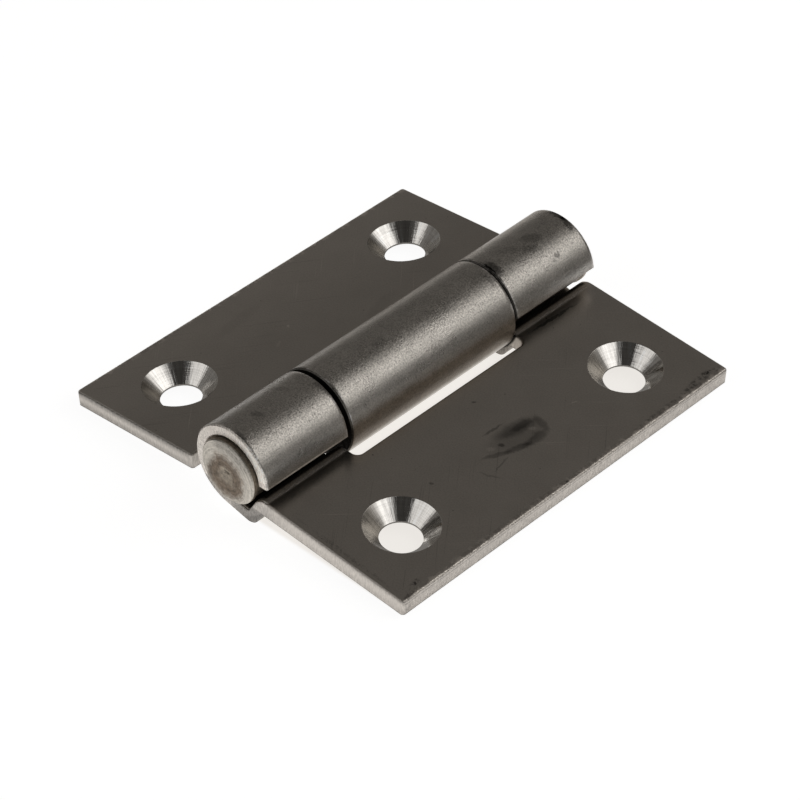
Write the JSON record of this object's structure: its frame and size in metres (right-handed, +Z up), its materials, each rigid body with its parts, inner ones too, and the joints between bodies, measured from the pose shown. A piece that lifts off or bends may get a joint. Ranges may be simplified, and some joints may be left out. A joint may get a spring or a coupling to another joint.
{
  "type": "butt hinge",
  "caption": "Butt hinge of rolled steel sheet: flat square-cornered leaves with countersunk screw holes swing on a riveted pin through their interlocking knuckles.",
  "frame": {"origin": "under the middle of the pin, on the surface that the open hinge lies on", "axes": "+Y along the pin towards its back end, +X towards the leaf with two knuckles, +Z up, the way the countersunk faces look"},
  "size_m": [0.0484, 0.0512, 0.011],
  "materials": {
    "leaf_sheet": "smooth rolled stainless sheet, satin on the rolled knuckles, matte on the cut edges",
    "pin_steel": "drawn stainless bar, riveted and lightly stained at the ends"
  },
  "bodies": {
    "fixed_leaf": {"two_knuckle_leaf": "leaf_sheet", "hinge_pin": "pin_steel"},
    "swing_leaf": {"one_knuckle_leaf": "leaf_sheet"}
  },
  "joints": [
    {"name": "leaf_swing", "type": "hinge", "parent": "fixed_leaf", "child": "swing_leaf", "pos_m": [0, 0, 0.00577], "axis": [0, 1, 0], "range_deg": [-110, 193]}
  ]
}
